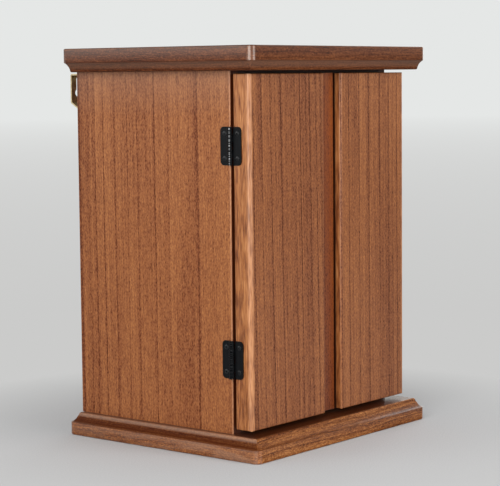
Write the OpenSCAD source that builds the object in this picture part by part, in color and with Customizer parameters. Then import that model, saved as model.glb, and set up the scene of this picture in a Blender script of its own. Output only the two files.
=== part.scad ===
// Small wooden home altar: a cabinet between two moulded boards, closed by two
// overlay doors on butterfly hinges. Millimetres, Z up, the doors face -Y.
// The origin is the middle of the base board's underside.

/* [Cabinet] */
// Overall height, from the base board's underside to the top board's upper face
overall_h = 400; // [300:1:600]
// Width over the two side panels
carcass_w = 261.6; // [200:0.1:420]
// Depth of the side panels, front edge to back edge
carcass_d = 203.4; // [140:0.1:320]
// Thickness of a side panel
side_t = 12; // [9:0.5:20]
// Thickness of the inner floor and ceiling panels
inner_t = 9; // [6:0.5:15]
// Thickness of the back panel
back_t = 5; // [3:0.5:8]
// Depth of the side panels' rebates that take the back panel
rebate_w = 6; // [3:0.5:8]
// Radius of the side panels' front outer arris
side_arris_r = 1.5; // [0.5:0.1:4]
// Side play of a panel that is set between two others
panel_play = 0.2; // [0.1:0.05:0.5]

/* [Top board] */
// Thickness of the top board
top_h = 24; // [18:0.5:40]
// Height of its plain upper band
top_band_h = 14.3; // [6:0.1:15]
// Overhang of the band past the side panels
top_side_over = 17.2; // [12:0.1:40]
// Overhang of the band past the side panels' front edges
top_front_over = 40.7; // [32:0.1:70]
// Overhang of the band past the side panels' back edges
top_back_over = 5.3; // [0:0.1:20]
// How far the cove under the band runs in
top_cove = 6.3; // [3:0.1:9]
// Depth of that cove's hollow, measured from a straight bevel
top_cove_sag = 1.2; // [0.3:0.1:1.5]
// Radius of the round shoulder between the cove and the board's underside
top_shoulder_r = 1.6; // [0.5:0.1:2.5]

/* [Base board] */
// Thickness of the base board
base_h = 23; // [19:0.1:40]
// Height of its plain lower band
base_band_h = 13.2; // [8:0.1:14]
// Overhang of the band past the side panels
base_side_over = 13.9; // [12:0.1:40]
// Overhang of the band past the side panels' front edges
base_front_over = 42.1; // [32:0.1:70]
// Overhang of the band past the side panels' back edges
base_back_over = 7.2; // [0:0.1:20]
// How far the cove above the band runs in
base_cove = 7.6; // [3:0.1:9]
// Depth of that cove's hollow, measured from a straight bevel
base_cove_sag = 1.1; // [0.3:0.1:1.5]
// Radius of the round shoulder between the cove and the board's upper face
base_shoulder_r = 2.4; // [0.5:0.1:3]

/* [Mouldings of both boards] */
// Plan radius of the bands' corners
corner_r = 6.5; // [3:0.1:15]
// Radius that eases the bands' free edges
band_edge_r = 1.4; // [0.5:0.1:2.5]

/* [Doors] */
// Thickness of a door
door_t = 21; // [15:0.5:30]
// Gap between a door's back and the side panels' front edges
door_back_gap = 2.7; // [1.8:0.1:5]
// Gap between the doors and the top board
door_top_gap = 2.9; // [2:0.1:8]
// Gap between the doors and the base board
door_bottom_gap = 4.9; // [2:0.1:12]
// Width of the left door's full-thickness leaf
left_leaf_w = 120; // [80:0.5:170]
// Width of the finger groove between the two full-thickness leaves
groove_w = 28; // [16:0.5:40]
// Depth of the finger groove
groove_d = 8.2; // [4:0.1:12]
// Gap between the two doors where they meet
meeting_gap = 1.7; // [1:0.1:4]
// Radius of the doors' outer vertical arrises
door_arris_r = 3.7; // [1:0.1:6]
// Radius of the arrises beside the finger groove
groove_arris_r = 2.5; // [0.5:0.1:4]
// Radius of the arris at the end of the left door's tongue
tongue_arris_r = 0.8; // [0.3:0.1:2]
// Radius of the doors' back arrises, on all four sides
door_back_r = 3.4; // [0.5:0.1:4]
// Radius of the doors' upper and lower front edges
door_edge_r = 1; // [0.3:0.1:3]

/* [Hinges] */
// Height of a butterfly hinge
hinge_h = 37.2; // [25:0.1:64]
// Width of the open hinge, over both leaves
hinge_w = 25.6; // [20:0.1:38]
// Sheet thickness of the leaves
leaf_t = 1.2; // [0.8:0.1:1.6]
// Radius of the leaves' outer corners
leaf_corner_r = 4; // [1:0.1:6]
// Radius of the hinge pin
pin_r = 1.4; // [0.8:0.05:1.6]
// Radial clearance of the pin in the knuckles
pin_clear = 0.05; // [0.02:0.01:0.1]
// Number of knuckles on one pin
knuckles = 5; // [3:2:7]
// Gap between neighbouring knuckles
knuckle_gap = 0.25; // [0.1:0.05:0.6]
// Distance of the upper hinges' middle from the doors' upper ends
upper_hinge_in = 69.2; // [40:0.1:100]
// Distance of the lower hinges' middle from the doors' lower ends
lower_hinge_in = 68.5; // [40:0.1:100]
// Radius of a hinge screw hole
hinge_screw_r = 1.3; // [1:0.1:1.8]
// Radius of the screw holes' countersinks
hinge_sink_r = 2.5; // [1.9:0.1:3]
// Distance of a screw hole from the leaf's outer edge
hinge_screw_in = 5; // [3.5:0.1:6]
// Distance of a screw hole from the leaf's upper or lower end
hinge_screw_end = 6.6; // [4:0.1:10]

/* [Wall hangers] */
// Width of a hanger plate
hanger_w = 18.6; // [14:0.1:30]
// Sheet thickness of a hanger
hanger_t = 1.5; // [1:0.1:2.5]
// How far the hanger's face stands off the cabinet's back
hanger_off = 9.8; // [5:0.1:14]
// Height of the hanger's face
hanger_face_h = 29.5; // [24:0.5:45]
// Radius of the hanger's bends, at the middle of the sheet
hanger_bend_r = 1.5; // [1:0.1:2]
// Height that the hanger's sloping leg takes
hanger_slope_h = 6; // [4:0.5:10]
// Height of the hanger's upper foot
hanger_upper_foot_h = 6; // [5:0.5:12]
// Height of the hanger's lower foot
hanger_foot_h = 9; // [7:0.5:15]
// Distance of the hanger's outer edge from the side panel's outer face
hanger_in = 2; // [0:0.1:10]
// Distance from the top board's underside to the hanger's face
hanger_drop = 1.5; // [0.5:0.1:10]
// Radius of the keyhole's round opening
keyhole_r = 4; // [3:0.1:6]
// Half the width of the keyhole's slot
keyhole_slot_r = 2.2; // [1.5:0.1:3]
// Height of the keyhole's round opening above the face's lower end
keyhole_z = 10; // [7:0.1:14]
// Height of the slot's upper end above the face's lower end
keyhole_top = 26; // [20:0.1:27]
// Radius of the screw hole in the foot
hanger_screw_r = 1.6; // [1.2:0.1:2.2]

/* [Inside] */
// Height of the altar shelf's upper face above the inner floor
shelf_rise = 92; // [50:1:160]
// Depth of the altar shelf
shelf_d = 96; // [60:1:130]
// Thickness of the altar shelf
shelf_t = 9; // [6:0.5:12]
// Radius of the altar shelf's front edges
shelf_edge_r = 2.5; // [0.5:0.1:3]
// Width of a shelf cleat
cleat_w = 9; // [6:0.5:15]
// Height of a shelf cleat
cleat_h = 12; // [8:0.5:20]
// Distance of the cleats' front ends behind the shelf's front edge
cleat_setback = 8; // [2:0.5:30]

/* [Catches] */
// Width of a magnetic catch
catch_w = 26; // [18:0.5:46]
// Depth of a magnetic catch
catch_d = 14; // [10:0.5:20]
// Height of a magnetic catch
catch_h = 8; // [6:0.5:12]
// Width of the catch's ear on each side of its body
catch_ear = 9; // [7:0.5:14]
// Thickness of the catch's ears
catch_ear_t = 2; // [1.5:0.1:3]
// Radius of a screw hole in an ear or in a strike plate
catch_screw_r = 1.5; // [1:0.1:1.8]
// How far the catch's magnet stands in front of the side panels' edges
catch_proud = 1.2; // [0.5:0.1:1.5]
// Distance of a catch's middle from the meeting line of the doors
catch_off = 36; // [30:1:60]
// Gap between a closed door's strike plate and its magnet
strike_gap = 0.3; // [0.2:0.05:0.6]
// Height of a strike plate
strike_h = 12; // [8:0.5:16]

/* [Hidden] */
$fn = 48;

// Places that several pieces share
base_d = base_front_over + carcass_d + base_back_over;
front_y = base_front_over - base_d / 2;
back_y = front_y + carcass_d;
under_top_z = overall_h - top_h;
carcass_h = under_top_z - base_h;
inner_w = carcass_w - 2 * side_t;
inner_d = carcass_d - back_t;
floor_top_z = base_h + inner_t;
ceiling_under_z = under_top_z - inner_t;

// Doors, seen from the front: x runs from the cabinet's left face
door_back_y = front_y - door_back_gap;
door_front_y = door_back_y - door_t;
door_bottom_z = base_h + door_bottom_gap;
door_h = under_top_z - door_top_gap - door_bottom_z;
left_door_w = left_leaf_w + groove_w - meeting_gap;
right_door_w = carcass_w - left_leaf_w - groove_w;
door_top_z = door_bottom_z + door_h;
meeting_x = left_leaf_w + groove_w - meeting_gap / 2 - carcass_w / 2;

// Hinges: the knuckles lie against the plane of the cabinet's side
barrel_r = pin_r + pin_clear + leaf_t;
hinge_axis_y = front_y - door_back_gap / 2;
knuckle_h = hinge_h / knuckles;
leaf_reach = hinge_w / 2;
barrel_room = 0.4;
upper_hinge_z = door_top_z - upper_hinge_in;
lower_hinge_z = door_bottom_z + lower_hinge_in;

// Steps of the arc in one bend of a sheet
BEND_STEPS = 6;
// How far a cutting shape runs past the faces it cuts
over = 1;
// The same for a countersink, whose cone widens with it
sink_over = 0.1;

// Finishes
WOOD_DARK = "saddlebrown";
WOOD = "sienna";
WOOD_PALE = "peru";
BLACK_IRON = "dimgray";
BRASS = "darkgoldenrod";

// A rectangle in plan, its middle on the origin, with four round corners
module round_rect(width, depth, r) {
    square([width - 2 * r, depth], center = true);
    square([width, depth - 2 * r], center = true);
    for (x = [-1, 1], y = [-1, 1]) translate([x * (width / 2 - r), y * (depth / 2 - r)]) circle(r);
}

// Edge profile of a moulded board. x = 0 is the band's face, the wood lies at
// x < 0, and y runs up from the band's eased edge, over the plain band and the
// shallow cove to the round shoulder at the board's flat.
module edge_profile(band_h, thickness, cove, sag, shoulder, reach) {
    slope_h = thickness - band_h - shoulder;
    chord = norm([cove, slope_h]);
    cove_r = (chord * chord / 4 + sag * sag) / (2 * sag);
    outwards = [slope_h, cove] / chord;
    middle = [-cove / 2, band_h + slope_h / 2] + outwards * (cove_r - sag);
    difference() {
        translate([-reach, 0]) square([reach, thickness]);
        corner_waste([0, 0, -1, 1], band_edge_r);
        corner_waste([-cove, thickness, -1, -1], shoulder);
        translate([-cove, band_h + slope_h]) square([cove + over, shoulder + over]);
        intersection() {
            translate(middle) circle(cove_r, $fn = 4 * $fn);
            translate([-cove, band_h]) square([cove + over, slope_h]);
        }
    }
}

// What a rounding of radius r takes off a corner, given as its place and the two ways inwards
module corner_waste(c, r) {
    middle = [c[0] + c[2] * r, c[1] + c[3] * r];
    difference() {
        translate(middle - [c[2], c[3]] * (r + over) / 2) square(r + over, center = true);
        translate(middle) circle(r);
    }
}

// Whole section across a board: both its edges
module board_section(width, band_h, thickness, cove, sag, shoulder) {
    for (side = [0, 1]) mirror([side, 0]) translate([width / 2, 0])
        edge_profile(band_h, thickness, cove, sag, shoulder, width / 2 + over);
}

// A moulded board with its band at the bottom. Its edges are straight runs of
// one profile. The corners are turned about their centres, and inside those
// centres the two sections meet in a mitre, as a router leaves them.
module moulded_board(width, depth, band_h, thickness, cove, sag, shoulder) {
    run_x = width - 2 * corner_r;
    run_y = depth - 2 * corner_r;
    intersection() {
        translate([0, run_y / 2, 0]) rotate([90, 0, 0]) linear_extrude(run_y)
            intersection() {
                board_section(width, band_h, thickness, cove, sag, shoulder);
                translate([-run_x / 2, 0]) square([run_x, thickness]);
            }
        translate([-run_x / 2, 0, 0]) rotate([90, 0, 90]) linear_extrude(run_x)
            intersection() {
                board_section(depth, band_h, thickness, cove, sag, shoulder);
                translate([-run_y / 2, 0]) square([run_y, thickness]);
            }
    }
    for (turn = [0, 180]) rotate(turn) {
        edge_run(run_x / 2, run_y) outer_profile(band_h, thickness, cove, sag, shoulder);
        rotate(90) edge_run(run_y / 2, run_x) outer_profile(band_h, thickness, cove, sag, shoulder);
        for (x = [-1, 1]) translate([x * run_x / 2, run_y / 2, 0]) rotate(x > 0 ? 0 : 90)
            rotate_extrude(angle = 90) outer_profile(band_h, thickness, cove, sag, shoulder);
    }
}

// The part of the edge profile outside the corners' centre lines, which lie at x = 0
module outer_profile(band_h, thickness, cove, sag, shoulder) {
    intersection() {
        translate([corner_r, 0]) edge_profile(band_h, thickness, cove, sag, shoulder, 2 * corner_r);
        square([corner_r + over, thickness]);
    }
}

// A straight length of moulding along Y, standing at x = distance
module edge_run(distance, run) {
    translate([distance, run / 2, 0]) rotate([90, 0, 0]) linear_extrude(run) children();
}

// The top board is moulded like the base board, turned upside down
module top_board() {
    width = carcass_w + 2 * top_side_over;
    depth = top_front_over + carcass_d + top_back_over;
    color(WOOD_DARK) translate([0, front_y - top_front_over + depth / 2, overall_h]) mirror([0, 0, 1])
        moulded_board(width, depth, top_band_h, top_h, top_cove, top_cove_sag, top_shoulder_r);
}

module base_board() {
    width = carcass_w + 2 * base_side_over;
    color(WOOD) moulded_board(width, base_d, base_band_h, base_h, base_cove, base_cove_sag, base_shoulder_r);
}

// Plan of the left side panel: round front arris outside, back rebate inside
module side_plan() {
    outer_x = -carcass_w / 2;
    inner_x = outer_x + side_t;
    difference() {
        round_plan(outer_x, front_y, inner_x, back_y, [side_arris_r, 0, 0, 0]);
        translate([inner_x - rebate_w, back_y - back_t]) square([rebate_w + over, back_t + over]);
    }
}

module side_panel() {
    color(WOOD) translate([0, 0, base_h]) linear_extrude(carcass_h) side_plan();
}

module left_side_panel() { side_panel(); }

module right_side_panel() { mirror([1, 0, 0]) side_panel(); }

module back_panel() {
    width = inner_w + 2 * rebate_w - 2 * panel_play;
    color(WOOD_PALE) translate([-width / 2, back_y - back_t + panel_play, base_h])
        cube([width, back_t - panel_play, carcass_h]);
}

// A board that lies between the side panels, from the front edges to the back panel
module inner_panel(z) {
    width = inner_w - 2 * panel_play;
    color(WOOD_PALE) translate([-width / 2, front_y, z]) cube([width, inner_d, inner_t]);
}

module floor_panel() { inner_panel(base_h); }

module ceiling_panel() { inner_panel(ceiling_under_z); }

// The shelf rests on its cleats and touches the back panel; its front edges are rounded
module altar_shelf() {
    width = inner_w - 2 * panel_play;
    top_z = floor_top_z + shelf_rise;
    back = back_y - back_t;
    color(WOOD_PALE) translate([-width / 2, 0, 0]) rotate([90, 0, 90]) linear_extrude(width)
        round_plan(back - shelf_d, top_z - shelf_t, back, top_z, [shelf_edge_r, 0, 0, shelf_edge_r]);
}

module shelf_cleat() {
    length = shelf_d - cleat_setback;
    color(WOOD)
    translate([-inner_w / 2, back_y - back_t - length, floor_top_z + shelf_rise - shelf_t - cleat_h])
        cube([cleat_w, length, cleat_h]);
}

module left_shelf_cleat() { shelf_cleat(); }

module right_shelf_cleat() { mirror([1, 0, 0]) shelf_cleat(); }

// A rectangle between two corners, rounded by four radii of its own: first the
// corner at (x0, y0), then the one at (x1, y0), and so on round. A radius may be 0.
module round_plan(x0, y0, x1, y1, radii) {
    corners = [[x0, y0, 1, 1], [x1, y0, -1, 1], [x1, y1, -1, -1], [x0, y1, 1, -1]];
    difference() {
        translate([x0, y0]) square([x1 - x0, y1 - y0]);
        for (i = [0:3]) if (radii[i] > 0) corner_waste(corners[i], radii[i]);
    }
}

// A door cut from its plan, with the upper and lower edges eased: the plan, the
// side view and the front view are three prisms, and the door is what they share
module door_slab(x0, x1) {
    intersection() {
        translate([0, 0, door_bottom_z]) linear_extrude(door_h) children();
        translate([x0 - over, 0, 0]) rotate([90, 0, 90]) linear_extrude(x1 - x0 + 2 * over)
            round_plan(door_front_y, door_bottom_z, door_back_y, door_top_z,
                [door_edge_r, door_back_r, door_back_r, door_edge_r]);
        translate([0, door_back_y + over, 0]) rotate([90, 0, 0]) linear_extrude(door_t + 2 * over)
            round_plan(x0, door_bottom_z, x1, door_top_z, [for (i = [0:3]) door_edge_r]);
    }
}

// The left door: a full-thickness leaf and a thinner tongue that floors the finger groove
module left_door() {
    x0 = -carcass_w / 2;
    leaf_x = x0 + left_leaf_w;
    color(WOOD) door_slab(x0, x0 + left_door_w) {
        round_plan(x0, door_front_y, leaf_x, door_back_y, [door_arris_r, groove_arris_r, 0, door_back_r]);
        round_plan(leaf_x - groove_d, door_front_y + groove_d, x0 + left_door_w, door_back_y,
            [0, tongue_arris_r, door_back_r, 0]);
    }
}

module right_door() {
    x1 = carcass_w / 2;
    color(WOOD) door_slab(x1 - right_door_w, x1)
        round_plan(x1 - right_door_w, door_front_y, x1, door_back_y,
            [groove_arris_r, door_arris_r, door_back_r, door_back_r]);
}

// Frame of a left hinge: x = 0 is the cabinet's side plane and y = 0 the pin's line
module at_left_hinge(z) {
    translate([-carcass_w / 2, hinge_axis_y, z - hinge_h / 2]) children();
}

// Outline of one leaf as it lies on the wood: x runs away from the pin, y upwards.
// It has two round outer corners, and beside the other leaf's knuckles it stands clear.
module leaf_outline(own) {
    inner = barrel_r + barrel_room;
    round_plan(inner, 0, leaf_reach, hinge_h, [0, leaf_corner_r, leaf_corner_r, 0]);
    for (k = own) translate([0, k * knuckle_h + knuckle_gap / 2])
        square([inner + over, knuckle_h - knuckle_gap]);
}

// Flat plate of one leaf with its countersunk screw holes, from x = -leaf_t to 0
module leaf_plate(own) {
    difference() {
        rotate([90, 0, 90]) translate([0, 0, -leaf_t]) linear_extrude(leaf_t) leaf_outline(own);
        for (z = [hinge_screw_end, hinge_h - hinge_screw_end])
            translate([-leaf_t, leaf_reach - hinge_screw_in, z]) rotate([0, 90, 0]) {
                translate([0, 0, -over]) cylinder(h = leaf_t + 2 * over, r = hinge_screw_r);
                translate([0, 0, -sink_over]) cylinder(
                    h = hinge_sink_r - hinge_screw_r + sink_over,
                    r1 = hinge_sink_r + sink_over, r2 = hinge_screw_r);
            }
    }
}

// One leaf with its rolled knuckles, bored for the pin
// side is 0 for the fixed leaf, behind the pin, and 1 for the door's leaf
module hinge_leaf(side, own) {
    color(BLACK_IRON) difference() {
        union() {
            mirror([0, side, 0]) leaf_plate(own);
            for (k = own) translate([-barrel_r, 0, k * knuckle_h + knuckle_gap / 2])
                cylinder(h = knuckle_h - knuckle_gap, r = barrel_r);
        }
        translate([-barrel_r, 0, -over]) cylinder(h = hinge_h + 2 * over, r = pin_r + pin_clear);
    }
}

module fixed_leaf(z) { at_left_hinge(z) hinge_leaf(0, [0:2:knuckles - 1]); }

module door_leaf(z) { at_left_hinge(z) hinge_leaf(1, [1:2:knuckles - 1]); }

module hinge_pin(z) {
    color(BLACK_IRON) at_left_hinge(z) translate([-barrel_r, 0, 0]) cylinder(h = hinge_h, r = pin_r);
}

module left_upper_fixed_leaf() { fixed_leaf(upper_hinge_z); }

module left_upper_door_leaf() { door_leaf(upper_hinge_z); }

module left_upper_hinge_pin() { hinge_pin(upper_hinge_z); }

module left_lower_fixed_leaf() { fixed_leaf(lower_hinge_z); }

module left_lower_door_leaf() { door_leaf(lower_hinge_z); }

module left_lower_hinge_pin() { hinge_pin(lower_hinge_z); }

module right_upper_fixed_leaf() { mirror([1, 0, 0]) fixed_leaf(upper_hinge_z); }

module right_upper_door_leaf() { mirror([1, 0, 0]) door_leaf(upper_hinge_z); }

module right_upper_hinge_pin() { mirror([1, 0, 0]) hinge_pin(upper_hinge_z); }

module right_lower_fixed_leaf() { mirror([1, 0, 0]) fixed_leaf(lower_hinge_z); }

module right_lower_door_leaf() { mirror([1, 0, 0]) door_leaf(lower_hinge_z); }

module right_lower_hinge_pin() { mirror([1, 0, 0]) hinge_pin(lower_hinge_z); }

// A magnetic catch under the ceiling panel: a block whose face stands just proud
// of the front edges, between two round ears that are screwed to the panel
module magnetic_catch(middle_x) {
    ear_d = 2 * catch_ear;
    mid_y = catch_d / 2;
    color(BLACK_IRON) translate([middle_x, front_y - catch_proud, ceiling_under_z - catch_h]) difference() {
        union() {
            translate([-catch_w / 2, 0, 0]) cube([catch_w, catch_d, catch_h]);
            translate([0, mid_y, catch_h - catch_ear_t]) linear_extrude(catch_ear_t) intersection() {
                for (x = [-1, 1]) translate([x * catch_w / 2, 0]) circle(catch_ear);
                square([catch_w + ear_d, catch_d], center = true);
            }
        }
        for (x = [-1, 1])
            translate([x * (catch_w / 2 + catch_ear / 2), mid_y, catch_h - catch_ear_t - over])
                cylinder(h = catch_ear_t + 2 * over, r = catch_screw_r);
    }
}

// The strike plate on a door's back, opposite a catch, with one screw hole
module strike_plate(middle_x) {
    thickness = door_back_gap - catch_proud - strike_gap;
    corner = strike_h / 4;
    color("silver") translate([middle_x, door_back_y + thickness, ceiling_under_z - catch_h / 2])
        rotate([90, 0, 0]) linear_extrude(thickness) difference() {
            round_rect(catch_w, strike_h, corner);
            circle(catch_screw_r);
        }
}

module left_catch() { magnetic_catch(meeting_x - catch_off); }

module right_catch() { magnetic_catch(meeting_x + catch_off); }

module left_strike_plate() { strike_plate(meeting_x - catch_off); }

module right_strike_plate() { strike_plate(meeting_x + catch_off); }

// Plane vectors: unit length, a quarter turn to the left, and a turn by an angle
function unit(v) = v / norm(v);
function left_of(v) = [-v[1], v[0]];
function turned(v, angle) = [v[0] * cos(angle) - v[1] * sin(angle), v[0] * sin(angle) + v[1] * cos(angle)];

// One side of a bend of radius r at b, on the way from a over b to c. aside is the
// side's distance to the left of the sheet's middle line.
function bend_side(a, b, c, r, aside) =
    let (u = unit(b - a), w = unit(c - b))
    let (turn = atan2(u[0] * w[1] - u[1] * w[0], u * w))
    let (middle = b - u * r * tan(abs(turn) / 2) + left_of(u) * sign(turn) * r)
    [for (i = [0:BEND_STEPS])
        middle - turned(left_of(u), turn * i / BEND_STEPS) * (sign(turn) * r - aside)];

// One whole side of a bent sheet whose middle line follows path
function sheet_side(path, r, aside) =
    let (last = len(path) - 1)
    concat(
        [path[0] + left_of(unit(path[1] - path[0])) * aside],
        [for (i = [1:last - 1]) each bend_side(path[i - 1], path[i], path[i + 1], r, aside)],
        [path[last] + left_of(unit(path[last] - path[last - 1])) * aside]
    );

function backwards(points) = [for (i = [len(points) - 1:-1:0]) points[i]];

// Side view of a hanger, as x = distance off the back and y = height above the
// face's lower end: lower foot, sloping leg, face, upper leg and upper foot
module hanger_strip() {
    half_t = hanger_t / 2;
    face_x = hanger_off + half_t;
    path = [
        [half_t, -hanger_slope_h - hanger_foot_h], [half_t, -hanger_slope_h], [face_x, 0],
        [face_x, hanger_face_h - half_t], [half_t, hanger_face_h - half_t],
        [half_t, hanger_face_h - hanger_t - hanger_upper_foot_h]
    ];
    polygon(concat(
        sheet_side(path, hanger_bend_r, half_t),
        backwards(sheet_side(path, hanger_bend_r, -half_t))
    ));
}

// A bent keyhole hanger: the wall screw's head passes the round opening and its
// shank slides up the slot
module wall_hanger() {
    face_z = under_top_z - hanger_drop - hanger_face_h;
    middle_x = hanger_w / 2;
    cut_y = hanger_off - over;
    cut_h = hanger_t + 2 * over;
    slot_end_z = keyhole_top - keyhole_slot_r;
    color(BRASS) translate([-carcass_w / 2 + hanger_in, back_y, face_z]) difference() {
        rotate([90, 0, 90]) linear_extrude(hanger_w) hanger_strip();
        translate([middle_x, cut_y, keyhole_z]) rotate([-90, 0, 0])
            cylinder(h = cut_h, r = keyhole_r);
        translate([middle_x, cut_y, slot_end_z]) rotate([-90, 0, 0])
            cylinder(h = cut_h, r = keyhole_slot_r);
        translate([middle_x - keyhole_slot_r, cut_y, keyhole_z])
            cube([2 * keyhole_slot_r, cut_h, slot_end_z - keyhole_z]);
        translate([middle_x, -over, -hanger_slope_h - hanger_foot_h / 2])
            rotate([-90, 0, 0]) cylinder(h = cut_h, r = hanger_screw_r);
    }
}

module left_wall_hanger() { wall_hanger(); }

module right_wall_hanger() { mirror([1, 0, 0]) wall_hanger(); }

top_board();
base_board();
left_side_panel();
right_side_panel();
back_panel();
floor_panel();
ceiling_panel();
altar_shelf();
left_shelf_cleat();
right_shelf_cleat();
left_door();
right_door();
left_upper_fixed_leaf();
left_upper_door_leaf();
left_upper_hinge_pin();
left_lower_fixed_leaf();
left_lower_door_leaf();
left_lower_hinge_pin();
right_upper_fixed_leaf();
right_upper_door_leaf();
right_upper_hinge_pin();
right_lower_fixed_leaf();
right_lower_door_leaf();
right_lower_hinge_pin();
left_catch();
right_catch();
left_strike_plate();
right_strike_plate();
left_wall_hanger();
right_wall_hanger();
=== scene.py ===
"""Small wooden home altar with two overlay doors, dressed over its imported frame.

The frame brings the cabinet, the two moulded boards, the doors, the hinges, the
catches and the wall hangers. This script gives each of them its finish, drives the
screws, and sets up the camera, the floor and a soft studio light.
"""
import logging
import math
from dataclasses import dataclass
from enum import Enum
from typing import Sequence, Union

import bpy
from mathutils import Matrix, Vector


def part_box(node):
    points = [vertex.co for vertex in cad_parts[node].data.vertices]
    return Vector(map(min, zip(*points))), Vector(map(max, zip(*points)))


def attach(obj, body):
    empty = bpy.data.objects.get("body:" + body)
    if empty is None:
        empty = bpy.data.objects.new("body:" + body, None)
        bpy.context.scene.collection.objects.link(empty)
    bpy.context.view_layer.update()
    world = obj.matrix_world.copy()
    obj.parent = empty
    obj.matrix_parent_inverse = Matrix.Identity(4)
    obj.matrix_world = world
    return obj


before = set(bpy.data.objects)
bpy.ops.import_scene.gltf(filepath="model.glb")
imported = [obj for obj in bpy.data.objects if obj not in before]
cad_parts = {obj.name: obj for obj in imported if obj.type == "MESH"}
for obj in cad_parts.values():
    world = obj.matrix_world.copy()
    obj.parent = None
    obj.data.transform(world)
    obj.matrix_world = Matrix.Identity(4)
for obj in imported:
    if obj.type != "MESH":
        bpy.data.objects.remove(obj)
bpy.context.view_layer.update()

LOG = logging.getLogger("home_altar")
MM = 0.001

Colour = tuple[float, float, float]
Socket = bpy.types.NodeSocket
Value = Union[float, Socket]


class Axis(Enum):
    """The axes of the shared frame: across the doors, front to back, and up."""

    X = 0
    Y = 1
    Z = 2


class Side(Enum):
    """The two sides of the cabinet, with the sign of their x."""

    LEFT = -1
    RIGHT = 1

    @property
    def word(self) -> str:
        """Name part of this side's pieces."""
        return self.name.lower()


def linear(colour: Colour) -> tuple[float, float, float, float]:
    """Turns a display colour of 0 to 255 into Blender's linear colour.

    Args:
        colour: red, green and blue as a picture shows them.

    Returns:
        Linear red, green, blue and an alpha of one.
    """
    def channel(value: float) -> float:
        """Linear value of one channel."""
        part = value / 255
        return part / 12.92 if part <= 0.04045 else ((part + 0.055) / 1.055) ** 2.4

    return (channel(colour[0]), channel(colour[1]), channel(colour[2]), 1.0)


def deselect_all() -> None:
    """Leaves edit mode and selects nothing, as each modelling step expects."""
    if bpy.context.object is not None and bpy.context.object.mode != "OBJECT":
        bpy.ops.object.mode_set(mode="OBJECT")
    bpy.ops.object.select_all(action="DESELECT")


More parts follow.
